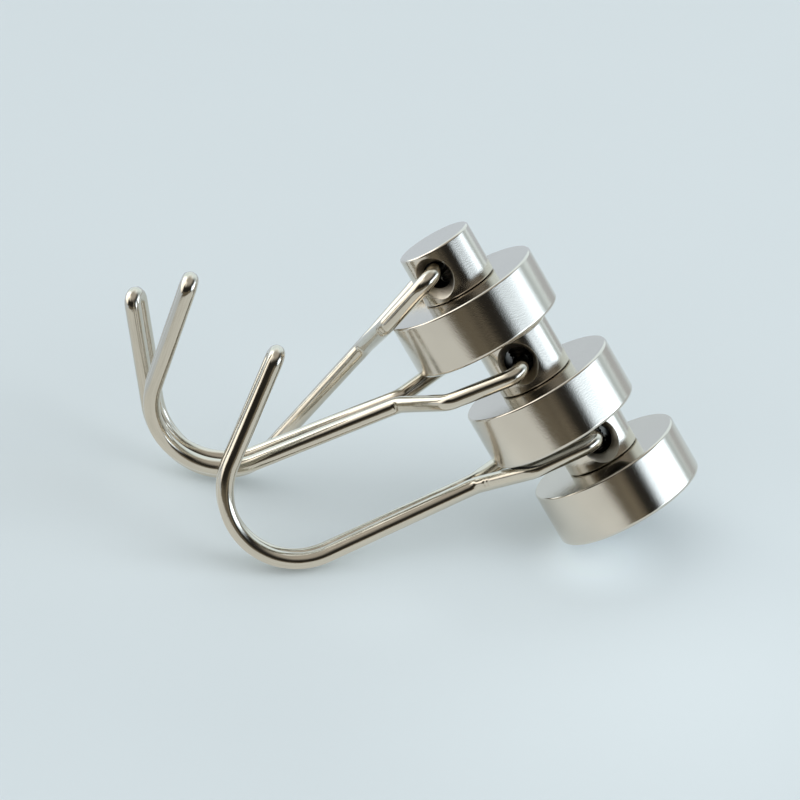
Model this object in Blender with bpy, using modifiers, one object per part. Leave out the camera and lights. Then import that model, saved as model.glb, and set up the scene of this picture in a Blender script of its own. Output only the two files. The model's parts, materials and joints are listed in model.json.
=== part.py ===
"""Three magnetic swivel hooks, stacked magnet on head and leaning on a table top."""

import math

import bmesh
import bpy
from mathutils import Euler, Matrix, Vector

# Lengths are in metres. Each hook is modelled upright, its magnet face at z = 0.
HOOK_COUNT = 3

# The stack as it leans: its axis from upright, and the way that axis heads from +X
LEAN_DEGREES = 33.9
HEADING_DEGREES = 153.1

# Steel pot
CUP_DIAMETER = 0.020
CUP_HEIGHT = 0.0073
CUP_WALL = 0.0014
CUP_TOP_THICKNESS = 0.0024
CUP_TOP_EDGE = 0.0002
CUP_RIM_EDGE = 0.0005

# Magnet, and the resin poured round it
RESIN_WIDTH = 0.0009
MAGNET_EDGE = 0.0003
MAGNET_RECESS = 0.0001
RESIN_RECESS = 0.0002

# Swivel pin: flange under the pot's top, shoulder through it, threaded end in the head
FLANGE_DIAMETER = 0.0068
FLANGE_THICKNESS = 0.0010
SHOULDER_DIAMETER = 0.0038
THREAD_DIAMETER = 0.0030
THREAD_GRIP = 0.0006
PIN_POINT_EDGE = 0.0003

# Thrust washer between the pot and the head
WASHER_DIAMETER = 0.0070
WASHER_THICKNESS = 0.0001

# Swivel head, with one countersunk cross hole
HEAD_DIAMETER = 0.00975
HEAD_HEIGHT = 0.00665
HEAD_EDGE = 0.0003
HOLE_HEIGHT = 0.00325
HOLE_DIAMETER = 0.0036
COUNTERSINK_DIAMETER = 0.0056
COUNTERSINK_DEPTH = 0.0014

# Wire hook: both ends in the head's hole, two legs, two kinks, two strands, one bend
WIRE_DIAMETER = 0.0021
WIRE_END_REACH = 0.0024
EYE_BEND_RADIUS = 0.0019
LEG_OFFSET = 0.0066
FORK_LENGTH = 0.0093
KINK_DEGREES = 37.7
KINK_RADIUS = 0.0025
STRAND_GAP = 0.0002
SHANK_LENGTH = 0.0374
BEND_RADIUS = 0.0092
BEND_DEGREES = 134.5
TIP_LENGTH = 0.0141

# Clearances
SEAT_GAP = 0.0001
NEST_GAP = 0.0001
RUNNING_GAP = 0.0001
SHIM_GAP = 0.00005
STOP_GAP = 0.0001
DRAWN_UP_GAP = 0.00033
CUT_OVERRUN = 0.001

# How far each pot slipped sideways on the head below it, as shares of the pot's radius
SLIP_SHARES = ((0.0, 0.0), (-0.138, -0.416), (-0.332, 0.276))

# How far round its pot each head is turned
SWIVEL_DEGREES = (201.4, 180.8, 166.2)

# How far off its height each cross hole was drilled, as shares of the head's height
HOLE_TRIM_SHARES = (-0.045, 0.053, 0.0)

# Each wire was bent by hand, so it departs a little from the sizes above
FORK_TRIM_SHARES = (-0.047, 0.058, -0.008)
SHANK_TRIM_SHARES = (-0.016, -0.008, 0.031)
BEND_TRIM_DEGREES = (2.4, -1.0, -0.9)
TWIST_DEGREES = (-1.7, -5.8, 2.0)

# How each wire lies in the play of its hole: its lift as a share of the play, and its cant
LIFT_SHARES = (0.8, -0.07, 0.85)
YAW_DEGREES = (-5.1, 1.0, 2.0)
ROLL_DEGREES = (0.0, -7.0, -0.9)

# Facets round each turned piece, along each bend and round the wire
CUP_SEGMENTS = 40
HEAD_SEGMENTS = 32
PIN_SEGMENTS = 20
HOLE_SEGMENTS = 20
RIM_STEPS = 3
EYE_STEPS = 4
KINK_STEPS = 3
BEND_STEPS = 14
TIP_STEPS = 3
WIRE_BEVEL_RESOLUTION = 2
SOLVE_STEPS = 40
LEG_SAMPLES = 24
SWING_SEARCH_DEGREES = 40

# Sizes that follow from those above
CUP_RADIUS = CUP_DIAMETER / 2
HEAD_RADIUS = HEAD_DIAMETER / 2
WIRE_RADIUS = WIRE_DIAMETER / 2
HOLE_RADIUS = HOLE_DIAMETER / 2
SHOULDER_RADIUS = SHOULDER_DIAMETER / 2
THREAD_RADIUS = THREAD_DIAMETER / 2
STRAND_OFFSET = (WIRE_DIAMETER + STRAND_GAP) / 2
MAGNET_RADIUS = CUP_RADIUS - CUP_WALL - NEST_GAP - RESIN_WIDTH - NEST_GAP
COUNTERBORE_DEPTH = FLANGE_THICKNESS + NEST_GAP + RUNNING_GAP
HEAD_BASE = CUP_HEIGHT + SHIM_GAP + WASHER_THICKNESS + SHIM_GAP
PITCH = HEAD_BASE + HEAD_HEIGHT + SEAT_GAP
HOLE_PLAY = HOLE_RADIUS - WIRE_RADIUS
PIN_TOP = HEAD_BASE + HOLE_HEIGHT + HOLE_RADIUS + THREAD_GRIP

MATERIALS = {
    "nickel_steel": ((0.74, 0.72, 0.68), 0.16, 1.0),
    "nickel_wire": ((0.70, 0.68, 0.63), 0.20, 1.0),
    "magnet_nickel": ((0.66, 0.66, 0.66), 0.30, 1.0),
    "potting_resin": ((0.03, 0.03, 0.03), 0.45, 0.0),
    "pin_steel": ((0.60, 0.60, 0.60), 0.35, 1.0),
    "washer_steel": ((0.55, 0.55, 0.54), 0.40, 1.0),
}


def clear_scene():
    """Remove whatever the scene holds."""
    for item in list(bpy.data.objects):
        bpy.data.objects.remove(item, do_unlink=True)


def make_collection(name):
    """Add a collection to the scene."""
    collection = bpy.data.collections.new(name)
    bpy.context.scene.collection.children.link(collection)
    return collection


def make_materials():
    """One Principled material for each finish."""
    made = {}
    for name, (colour, roughness, metallic) in MATERIALS.items():
        material = bpy.data.materials.new(name)
        material.use_nodes = True
        shader = material.node_tree.nodes["Principled BSDF"]
        shader.inputs["Base Color"].default_value = (*colour, 1.0)
        shader.inputs["Roughness"].default_value = roughness
        shader.inputs["Metallic"].default_value = metallic
        made[name] = material
    return made


def make_empty(name, parent, location, rotation, collection):
    """An empty that carries or turns pieces."""
    empty = bpy.data.objects.new(name, None)
    collection.objects.link(empty)
    empty.parent = parent
    empty.location = location
    empty.rotation_euler = rotation
    return empty


def arc(centre, radius, start, stop, steps):
    """Points round a circular arc, angles in degrees."""
    points = []
    for step in range(steps + 1):
        angle = math.radians(start + (stop - start) * step / steps)
        points.append((centre[0] + radius * math.cos(angle), centre[1] + radius * math.sin(angle)))
    return points


def turned_mesh(name, profile, closed):
    """Edges of a profile in the XZ plane, ready to be turned about Z."""
    mesh = bpy.data.meshes.new(name)
    shape = bmesh.new()
    corners = [shape.verts.new((radius, 0, height)) for radius, height in profile]
    for start, stop in zip(corners, corners[1:]):
        shape.edges.new((start, stop))
    if closed:
        shape.edges.new((corners[-1], corners[0]))
    shape.to_mesh(mesh)
    shape.free()
    return mesh


def add_screw(item, segments):
    """Turn the profile once round its Z axis."""
    screw = item.modifiers.new("Turned", "SCREW")
    screw.angle = math.tau
    screw.steps = segments
    screw.render_steps = segments
    screw.use_merge_vertices = True
    screw.merge_threshold = 0.00001
    screw.use_smooth_shade = True


def place(item, parent, location, material, collection):
    """Give a piece its parent, its place and its material."""
    collection.objects.link(item)
    item.parent = parent
    item.location = location
    item.data.materials.append(material)


def turned_piece(name, profile, closed, segments, parent, height, material, collection):
    """A piece turned about the hook's own axis, its foot at the given height."""
    item = bpy.data.objects.new(name, turned_mesh(name, profile, closed))
    place(item, parent, (0, 0, height), material, collection)
    add_screw(item, segments)
    return item


def cup_profile():
    """Section of the pot: outside, rim, bore, ceiling, counterbore and pin hole."""
    ceiling = CUP_HEIGHT - CUP_TOP_THICKNESS
    bore = CUP_RADIUS - CUP_WALL
    counterbore = FLANGE_DIAMETER / 2 + RUNNING_GAP
    pin_hole = SHOULDER_RADIUS + RUNNING_GAP
    outside = [(pin_hole, CUP_HEIGHT), (CUP_RADIUS - CUP_TOP_EDGE, CUP_HEIGHT)]
    outside.append((CUP_RADIUS, CUP_HEIGHT - CUP_TOP_EDGE))
    rim = arc((CUP_RADIUS - CUP_RIM_EDGE, CUP_RIM_EDGE), CUP_RIM_EDGE, 0, -90, RIM_STEPS)
    inside = [(bore, 0), (bore, ceiling), (counterbore, ceiling)]
    inside.append((counterbore, ceiling + COUNTERBORE_DEPTH))
    inside.append((pin_hole, ceiling + COUNTERBORE_DEPTH))
    return outside + rim + inside


def magnet_profile():
    """Section of the disc magnet, up to just under the pin's flange."""
    top = CUP_HEIGHT - CUP_TOP_THICKNESS - NEST_GAP
    return [(0, top), (MAGNET_RADIUS, top), (MAGNET_RADIUS, MAGNET_RECESS + MAGNET_EDGE),
            (MAGNET_RADIUS - MAGNET_EDGE, MAGNET_RECESS), (0, MAGNET_RECESS)]


def resin_profile():
    """Section of the resin ring between magnet and pot wall."""
    inner = MAGNET_RADIUS + NEST_GAP
    outer = CUP_RADIUS - CUP_WALL - NEST_GAP
    top = CUP_HEIGHT - CUP_TOP_THICKNESS - NEST_GAP
    return [(inner, top), (outer, top), (outer, RESIN_RECESS), (inner, RESIN_RECESS)]


def washer_profile():
    """Section of the thrust washer round the pin's shoulder."""
    inner = SHOULDER_RADIUS + RUNNING_GAP
    outer = WASHER_DIAMETER / 2
    return [(inner, WASHER_THICKNESS), (outer, WASHER_THICKNESS), (outer, 0), (inner, 0)]


def pin_profile():
    """Section of the swivel pin, its foot just above the magnet."""
    foot = CUP_HEIGHT - CUP_TOP_THICKNESS + NEST_GAP
    flange = FLANGE_DIAMETER / 2
    shoulder_top = HEAD_BASE - NEST_GAP
    return [(0, PIN_TOP), (THREAD_RADIUS - PIN_POINT_EDGE, PIN_TOP),
            (THREAD_RADIUS, PIN_TOP - PIN_POINT_EDGE), (THREAD_RADIUS, shoulder_top),
            (SHOULDER_RADIUS, shoulder_top), (SHOULDER_RADIUS, foot + FLANGE_THICKNESS),
            (flange, foot + FLANGE_THICKNESS), (flange, foot), (0, foot)]


def head_profile():
    """Section of the swivel head with its blind threaded bore."""
    bore = THREAD_RADIUS + NEST_GAP
    bore_top = PIN_TOP - HEAD_BASE + NEST_GAP
    return [(0, HEAD_HEIGHT), (HEAD_RADIUS - HEAD_EDGE, HEAD_HEIGHT),
            (HEAD_RADIUS, HEAD_HEIGHT - HEAD_EDGE), (HEAD_RADIUS, HEAD_EDGE),
            (HEAD_RADIUS - HEAD_EDGE, 0), (bore, 0), (bore, bore_top), (0, bore_top)]


def hole_profile():
    """Section of the cross hole's cutter: a bore that opens into a cone at both ends."""
    start = HEAD_RADIUS - COUNTERSINK_DEPTH
    slope = (COUNTERSINK_DIAMETER / 2 - HOLE_RADIUS) / COUNTERSINK_DEPTH
    reach = HEAD_RADIUS + CUT_OVERRUN
    mouth = HOLE_RADIUS + slope * (reach - start)
    return [(0, reach), (mouth, reach), (HOLE_RADIUS, start), (HOLE_RADIUS, -start),
            (mouth, -reach), (0, -reach)]


def corner_points(corner, angle_in, angle_out, steps):
    """A rounded corner of the wire in its own plane, turning between two headings."""
    turn = angle_out - angle_in
    tangent = KINK_RADIUS * math.tan(abs(turn) / 2)
    points = []
    side = math.copysign(1, turn)
    start = Vector(corner) - tangent * Vector((math.cos(angle_in), math.sin(angle_in)))
    normal = Vector((-math.sin(angle_in), math.cos(angle_in))) * side
    centre = start + normal * KINK_RADIUS
    for step in range(steps + 1):
        heading = angle_in + turn * step / steps
        across = Vector((-math.sin(heading), math.cos(heading))) * side
        points.append(centre - across * KINK_RADIUS)
    return points


def wire_half(index):
    """Centre line of one strand, from its end in the head to the middle of the tip."""
    fork = FORK_LENGTH * (1 + FORK_TRIM_SHARES[index])
    shank = SHANK_LENGTH * (1 + SHANK_TRIM_SHARES[index])
    bend = math.radians(BEND_DEGREES + BEND_TRIM_DEGREES[index])
    kink = math.radians(KINK_DEGREES)
    join = fork + (LEG_OFFSET - STRAND_OFFSET) / math.tan(kink)

    flat = [(0, WIRE_END_REACH)]
    eye_centre = (EYE_BEND_RADIUS, LEG_OFFSET - EYE_BEND_RADIUS)
    flat += arc(eye_centre, EYE_BEND_RADIUS, 180, 90, EYE_STEPS)
    flat += corner_points((fork, LEG_OFFSET), 0, -kink, KINK_STEPS)
    flat += corner_points((join, STRAND_OFFSET), -kink, 0, KINK_STEPS)
    points = [Vector((along, across, 0)) for along, across in flat]

    for step in range(BEND_STEPS + 1):
        angle = bend * step / BEND_STEPS
        along = shank + BEND_RADIUS * math.sin(angle)
        points.append(Vector((along, STRAND_OFFSET, BEND_RADIUS * (1 - math.cos(angle)))))
    heading = Vector((math.cos(bend), 0, math.sin(bend)))
    foot = points[-1] + heading * TIP_LENGTH
    for step in range(TIP_STEPS + 1):
        angle = math.pi / 2 * step / TIP_STEPS
        forward = heading * (STRAND_OFFSET * math.sin(angle))
        inward = Vector((0, STRAND_OFFSET * (1 - math.cos(angle)), 0))
        points.append(foot + forward - inward)
    return points, join, shank


def wire_path(index):
    """Centre line of the whole folded wire, twisted a little along its shank."""
    half, join, shank = wire_half(index)
    mirrored = [Vector((point.x, -point.y, point.z)) for point in reversed(half[:-1])]
    twist = math.radians(TWIST_DEGREES[index])
    path = []
    for point in half + mirrored:
        share = min(max((point.x - join) / (shank - join), 0), 1)
        if point.z > 0:
            share = 1
        path.append(Matrix.Rotation(twist * share, 3, "X") @ point)
    return path


def lean_rotation():
    """Rotation that takes an upright hook into the leaning stack."""
    lean = math.radians(LEAN_DEGREES)
    heading = math.radians(HEADING_DEGREES)
    axis = Vector((math.sin(lean) * math.cos(heading), math.sin(lean) * math.sin(heading),
                   math.cos(lean)))
    side = Vector((0, 1, 0)).cross(axis).normalized()
    return Matrix((side, axis.cross(side), axis)).transposed()


def pot_place(index):
    """Where a pot stands in the upright stack."""
    across, along = SLIP_SHARES[index]
    slip = Vector((across, along, 0)) * CUP_RADIUS
    below = pot_place(index - 1) if index else Vector((0, 0, -PITCH))
    return below + slip + Vector((0, 0, PITCH))


def swivel_rotation(index):
    """How a head is turned on its pot."""
    return Euler((0, 0, math.radians(SWIVEL_DEGREES[index])))


def hole_axis(index):
    """Height of the cross hole over the foot of its pot."""
    return HEAD_BASE + HOLE_HEIGHT + HOLE_TRIM_SHARES[index] * HEAD_HEIGHT


def hinge_place(index):
    """Centre of the wire's two ends, in the head's turned frame."""
    return Vector((0, 0, hole_axis(index) + LIFT_SHARES[index] * HOLE_PLAY))


def cant_rotation(index):
    """How the wire lies askew in the play of its hole."""
    yaw = Matrix.Rotation(math.radians(YAW_DEGREES[index]), 3, "Z")
    return yaw @ Matrix.Rotation(math.radians(ROLL_DEGREES[index]), 3, "X")


def swung_path(index, swing):
    """Centre line of a wire under a swing in radians, in the upright stack."""
    head = swivel_rotation(index).to_matrix()
    wire = Matrix.Rotation(-swing, 3, "Y") @ cant_rotation(index)
    hinge = hinge_place(index)
    return [pot_place(index) + head @ (hinge + wire @ point) for point in wire_path(index)]


def table_clearance(index, swing):
    """Gap between a wire and the table in the leaning stack."""
    lean = lean_rotation()
    lowest = min((lean @ point).z for point in swung_path(index, swing))
    return lowest - WIRE_RADIUS - table_height()


def pot_gap(path, pot_index):
    """Gap between a wire's path and a pot."""
    centre = pot_place(pot_index)
    gaps = []
    for start, stop in zip(path, path[1:]):
        for step in range(LEG_SAMPLES):
            place_on_wire = start.lerp(stop, step / LEG_SAMPLES) - centre
            aside = place_on_wire.xy.length - CUP_RADIUS
            below = max(-place_on_wire.z, place_on_wire.z - CUP_HEIGHT)
            outside = min(aside, below) > 0
            gaps.append(math.hypot(aside, below) if outside else max(aside, below))
    return min(gaps) - WIRE_RADIUS


def upper_pot_clearance(index, swing):
    """Gap between a wire and the pot stacked on its head."""
    return pot_gap(swung_path(index, swing), index + 1)


def own_pot_clearance(index, swing):
    """Gap between a wire and its own pot."""
    return pot_gap(swung_path(index, swing), index)


def table_height():
    """Height of the table that the lowest pot's rim stands on."""
    lean = math.radians(LEAN_DEGREES)
    rim_centre = CUP_RIM_EDGE * math.cos(lean) - (CUP_RADIUS - CUP_RIM_EDGE) * math.sin(lean)
    return rim_centre - CUP_RIM_EDGE


def settle(index, touching, clear, clearance, target):
    """Swing between a touching and a clear angle at which the clearance meets its target."""
    touching, clear = math.radians(touching), math.radians(clear)
    for _ in range(SOLVE_STEPS):
        middle = (touching + clear) / 2
        if clearance(index, middle) > target:
            clear = middle
        else:
            touching = middle
    return clear


def swing_onto_table(index):
    """Swing at which the wire's bend just meets the table."""
    return settle(index, -SWING_SEARCH_DEGREES, SWING_SEARCH_DEGREES, table_clearance, 0)


def swing_under_pot(index):
    """Swing at which the wire's legs are drawn up under the pot above."""
    return settle(index, SWING_SEARCH_DEGREES, 0, upper_pot_clearance, DRAWN_UP_GAP)


def swing_onto_rim(index):
    """Swing at which the wire's legs just clear the rim of their own pot."""
    return settle(index, -SWING_SEARCH_DEGREES, 0, own_pot_clearance, STOP_GAP)


REST_SWINGS = (swing_onto_table, swing_under_pot, swing_onto_rim)


def build_pot(index, pot, materials, parts):
    """Pot, magnet and resin, which never part."""
    number = index + 1
    turned_piece(f"cup_{number}", cup_profile(), True, CUP_SEGMENTS, pot, 0,
                 materials["nickel_steel"], parts)
    turned_piece(f"magnet_{number}", magnet_profile(), False, CUP_SEGMENTS, pot, 0,
                 materials["magnet_nickel"], parts)
    turned_piece(f"resin_ring_{number}", resin_profile(), True, CUP_SEGMENTS, pot, 0,
                 materials["potting_resin"], parts)
    turned_piece(f"thrust_washer_{number}", washer_profile(), True, PIN_SEGMENTS, pot,
                 CUP_HEIGHT + RUNNING_GAP, materials["washer_steel"], parts)


def build_head(index, swivel, materials, parts, cutters):
    """Swivel pin and the head that it holds, with the head's cross hole."""
    number = index + 1
    turned_piece(f"swivel_pin_{number}", pin_profile(), False, PIN_SEGMENTS, swivel, 0,
                 materials["pin_steel"], parts)
    head = turned_piece(f"swivel_head_{number}", head_profile(), False, HEAD_SEGMENTS, swivel,
                        HEAD_BASE, materials["nickel_steel"], parts)
    cutter = turned_piece(f"cross_hole_{number}", hole_profile(), False, HOLE_SEGMENTS, swivel,
                          hole_axis(index), materials["nickel_steel"], cutters)
    cutter.rotation_euler = (math.pi / 2, 0, 0)
    cutter.hide_render = True
    cutter.display_type = "WIRE"
    hole = head.modifiers.new("Cross hole", "BOOLEAN")
    hole.operation = "DIFFERENCE"
    hole.solver = "EXACT"
    hole.object = cutter


def build_wire(index, hinge, materials, parts):
    """The folded wire hook as one bevelled curve."""
    curve = bpy.data.curves.new(f"wire_hook_{index + 1}", "CURVE")
    curve.dimensions = "3D"
    curve.bevel_depth = WIRE_RADIUS
    curve.bevel_resolution = WIRE_BEVEL_RESOLUTION
    curve.use_fill_caps = True
    path = wire_path(index)
    spline = curve.splines.new("POLY")
    spline.points.add(len(path) - 1)
    for point, place_in_wire in zip(spline.points, path):
        point.co = (*place_in_wire, 1)
    spline.use_smooth = True
    wire = bpy.data.objects.new(curve.name, curve)
    place(wire, hinge, (0, 0, 0), materials["nickel_wire"], parts)
    wire.rotation_euler = cant_rotation(index).to_euler()


def build_hook(index, stack, materials, guides, parts, cutters):
    """One hook on its place in the stack."""
    number = index + 1
    pot = make_empty(f"pot_{number}", stack, pot_place(index), (0, 0, 0), guides)
    swivel = make_empty(f"swivel_{number}", pot, (0, 0, 0), swivel_rotation(index), guides)
    swing = REST_SWINGS[index](index)
    hinge = make_empty(f"swing_{number}", swivel, hinge_place(index), (0, -swing, 0), guides)
    build_pot(index, pot, materials, parts)
    build_head(index, swivel, materials, parts, cutters)
    build_wire(index, hinge, materials, parts)


def shade(parts):
    """Shade round pieces smooth, with their edges sharp."""
    for item in parts.objects:
        if item.type == "MESH":
            item.data.shade_smooth()
            item.data.set_sharp_from_angle(angle=math.radians(40))


def world_bounds(parts):
    """Lowest and highest corner of all the pieces."""
    bpy.context.view_layer.update()
    depsgraph = bpy.context.evaluated_depsgraph_get()
    low = Vector((math.inf,) * 3)
    high = Vector((-math.inf,) * 3)
    for item in parts.objects:
        evaluated = item.evaluated_get(depsgraph)
        mesh = evaluated.to_mesh()
        for vertex in mesh.vertices:
            world = evaluated.matrix_world @ vertex.co
            low = Vector(map(min, low, world))
            high = Vector(map(max, high, world))
        evaluated.to_mesh_clear()
    return low, high


def main():
    """Build the stack, then stand its lowest point on the table under its middle."""
    clear_scene()
    parts = make_collection("magnetic_hook_stack")
    guides = make_collection("guides")
    cutters = make_collection("cutters")
    materials = make_materials()
    stack = make_empty("stack", None, (0, 0, 0), lean_rotation().to_euler(), guides)
    for index in range(HOOK_COUNT):
        build_hook(index, stack, materials, guides, parts, cutters)
    shade(parts)
    low, high = world_bounds(parts)
    stack.location = (-(low.x + high.x) / 2, -(low.y + high.y) / 2, -low.z)


main()
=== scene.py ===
"""Three magnetic swivel hooks, stacked magnet on head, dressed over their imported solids."""

import json
import math

import bpy
import numpy as np
from mathutils import Euler, Matrix, Vector
from mathutils.bvhtree import BVHTree


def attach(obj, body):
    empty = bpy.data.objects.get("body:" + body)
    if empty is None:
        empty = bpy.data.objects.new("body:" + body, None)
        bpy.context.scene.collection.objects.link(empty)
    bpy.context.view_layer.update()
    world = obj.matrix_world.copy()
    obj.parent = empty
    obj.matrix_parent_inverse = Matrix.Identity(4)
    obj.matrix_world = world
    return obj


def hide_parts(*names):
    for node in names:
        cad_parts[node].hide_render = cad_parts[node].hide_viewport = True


bl_info = {
    "name": "Magnetic Swivel Hooks",
    "version": (1, 0, 0),
    "blender": (4, 5, 0),
    "location": "View3D > Sidebar > Hooks",
    "description": "Builds a leaning stack of nickel plated magnetic swivel hooks",
    "category": "Object",
}

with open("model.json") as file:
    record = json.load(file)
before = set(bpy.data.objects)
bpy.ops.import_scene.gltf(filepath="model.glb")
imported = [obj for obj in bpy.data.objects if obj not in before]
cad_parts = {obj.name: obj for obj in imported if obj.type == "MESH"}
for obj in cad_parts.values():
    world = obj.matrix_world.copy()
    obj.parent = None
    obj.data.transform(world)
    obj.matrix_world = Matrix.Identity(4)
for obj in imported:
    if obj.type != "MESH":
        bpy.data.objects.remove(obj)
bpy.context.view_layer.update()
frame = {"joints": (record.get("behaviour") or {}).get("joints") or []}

MM = 0.001
HOOKS = (1, 2, 3)

# The stack as it leans: its axis from upright, and the way that axis heads from +X
LEAN_DEGREES = 33.9
HEADING_DEGREES = 153.1

# Each hook in turn: how far its head is turned, how far its wire swings, and its wire's cant
SWIVEL_DEGREES = (201.4, 180.8, 166.2)
SWING_DEGREES = (6.2198, 5.7756, -20.3039)
YAW_DEGREES = (-5.1, 1.0, 2.0)
ROLL_DEGREES = (0.0, -7.0, -0.9)

# How far off its height each cross hole was drilled, as shares of the head's height
HOLE_TRIM_SHARES = (-0.045, 0.053, 0.0)

# Each wire was bent by hand, so it departs a little from the sizes below
FORK_TRIM_SHARES = (-0.047, 0.058, -0.008)
SHANK_TRIM_SHARES = (-0.016, -0.008, 0.031)
BEND_TRIM_DEGREES = (2.4, -1.0, -0.9)
TWIST_DEGREES = (-1.7, -5.8, 2.0)

# Folded wire, in millimetres
WIRE_END_REACH = 2.4
EYE_BEND_RADIUS = 1.9
LEG_OFFSET = 6.6
FORK_LENGTH = 9.3
KINK_DEGREES = 37.7
KINK_RADIUS = 2.5
SHANK_LENGTH = 37.4
BEND_RADIUS = 9.2
BEND_DEGREES = 134.5
TIP_LENGTH = 14.1
STRAND_OFFSET = 1.075

# Pot and its inside, in millimetres
CUP_WALL = 1.4
CUP_TOP_THICKNESS = 2.4
MAGNET_DIAMETER = 15.0
FLANGE_DIAMETER = 6.8
FLANGE_THICKNESS = 1.0
SHOULDER_DIAMETER = 3.8
THREAD_DIAMETER = 3.0
WASHER_DIAMETER = 7.0
WASHER_THICKNESS = 0.1
NEST_GAP = 0.1
SHIM_GAP = 0.05

# Head and its cross hole, in millimetres
HEAD_BASE = 7.5
HOLE_HEIGHT = 3.25
HEAD_SKIRT = 0.14
PIN_TOP = 13.15
HOLE_DIAMETER = 3.6
COUNTERSINK_DIAMETER = 5.6
COUNTERSINK_DEPTH = 1.4

# Steps round each piece, and round each of its edges
CUP_SEGMENTS = 192
HEAD_SEGMENTS = 144
INSIDE_SEGMENTS = 96
HOLE_SEGMENTS = 96
WIRE_SEGMENTS = 36
OUTER_EDGE_STEPS = 8
INSIDE_EDGE_STEPS = 4

# Steps along the wire, in millimetres, and how its fork was pressed: the length over which the
# flat fades in and out, and the share of the wire's radius that it takes off
WIRE_STEP = 0.45
FORK_STEP = 0.08
PRESS_FADE = 2.2
PRESS_SHARE = 0.045

# Tool marks on each wire: distance past the first kink, way round from its outer side, depth
TOOL_MARKS = (((5.1, 0.25, 0.06), (5.5, 0.15, 0.09)), ((7.2, 0.3, 0.10),),
              ((-0.15, 0.1, 0.10), (0.35, -0.1, 0.10)))
MARK_LENGTH = 0.17
MARK_WIDTH = 0.35


def linear(hex_colour):
    """Turn an sRGB hex colour to linear red, green and blue."""
    parts = [int(hex_colour[start:start + 2], 16) / 255 for start in (0, 2, 4)]
    return tuple(c / 12.92 if c <= 0.04045 else ((c + 0.055) / 1.055) ** 2.4 for c in parts)


def length_property(name, description, default):
    """A length that a user may change, given in millimetres."""
    return bpy.props.FloatProperty(name=name, description=description, default=default * MM,
                                   min=0.0, precision=5, unit="LENGTH")


def colour_property(name, description, hex_colour):
    """A colour that a user may change."""
    return bpy.props.FloatVectorProperty(name=name, description=description, size=3,
                                         default=linear(hex_colour), min=0.0, max=1.0,
                                         subtype="COLOR")


class HookSizes(bpy.types.PropertyGroup):
    """Sizes of the hooks' visible forms."""

    cup_diameter: length_property("Pot diameter", "Outside diameter of the steel pot", 20.0)
    cup_height: length_property("Pot height", "Height of the steel pot", 7.3)
    cup_top_edge: length_property("Pot top edge", "Rounding of the pot's top edge", 0.27)
    cup_rim_edge: length_property("Pot rim edge", "Rounding of the pot's rim", 0.5)
    head_diameter: length_property("Head diameter", "Diameter of the swivel head", 9.75)
    head_height: length_property("Head height", "Height of the swivel head", 6.65)
    head_edge: length_property("Head edge", "Rounding of the head's edges", 0.3)
    wire_diameter: length_property("Wire diameter", "Diameter of the hook's wire", 2.13)


class HookColours(bpy.types.PropertyGroup):
    """Colours of the finishes and the stage."""

    nickel: colour_property("Nickel", "Bright nickel plate on the turned pieces", "d3cdc2")
    nickel_wire: colour_property("Wire nickel", "Bright nickel plate on the wire", "d0cabd")
    magnet: colour_property("Magnet", "Dull nickel on the ground magnet", "b9b8b4")
    resin: colour_property("Resin", "Black casting resin", "1c1c1d")
    steel: colour_property("Steel", "Bare steel of pin and washer", "a3a19c")
    floor: colour_property("Floor", "Pale table under the hooks", "d6e1e5")
    backdrop: colour_property("Backdrop", "Pale surround that the camera sees", "d4dfe2")


# Settings that several nodes share, and the sockets of a node that mixes two colours
SMOOTH = {"interpolation_type": "SMOOTHSTEP"}
PLUS, MINUS, TIMES = ({"operation": word} for word in ("ADD", "SUBTRACT", "MULTIPLY"))
RGBA = {"data_type": "RGBA"}
COLOUR_A, COLOUR_B, COLOUR_OUT = 6, 7, 2


def add_node(tree, kind, settings=None, links=()):
    """Add a shader node with its settings and its inputs, by name or in order.

    Each input is a value, another node's output, or a node whose first output is taken.
    """
    node = tree.nodes.new("ShaderNode" + kind)
    for key, value in (settings or {}).items():
        setattr(node, key, value)
    for socket, value in links.items() if isinstance(links, dict) else enumerate(links):
        if isinstance(value, bpy.types.Node):
            value = value.outputs[0]
        if isinstance(value, bpy.types.NodeSocket):
            tree.links.new(value, node.inputs[socket])
        else:
            node.inputs[socket].default_value = value
    return node


def new_material(name):
    """A material with its shader linked to its output, ready for more nodes."""
    material = bpy.data.materials.new(name)
    material.use_nodes = True
    tree = material.node_tree
    tree.nodes.clear()
    shader = add_node(tree, "BsdfPrincipled")
    add_node(tree, "OutputMaterial", {}, {"Surface": shader})
    return material, tree, shader


def opaque(colour, share=1.0):
    """A colour times a share, with the full alpha that a node's input asks for."""
    return (*(part * share for part in colour), 1.0)


def pattern(coordinates, spacing, detail=2.0, roughness=0.5):
    """Inputs of a noise whose features lie the given number of millimetres apart."""
    return {"Vector": coordinates, "Scale": 1 / (spacing * MM), "Detail": detail,
            "Roughness": roughness}


def specks(tree, coordinates, spacing, size_share, chance):
    """Sparse round specks, one at most in each cell of the given spacing in millimetres."""
    cells = add_node(tree, "TexVoronoi", {"feature": "F1"},
                     {"Vector": coordinates, "Scale": 1 / (spacing * MM)})
    near = add_node(tree, "MapRange", SMOOTH, (cells, size_share * 0.6, size_share, 1.0, 0.0))
    picked = add_node(tree, "Math", {"operation": "GREATER_THAN"},
                      (cells.outputs["Color"], 1 - chance))
    return add_node(tree, "Math", TIMES, (near, picked))


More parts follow.
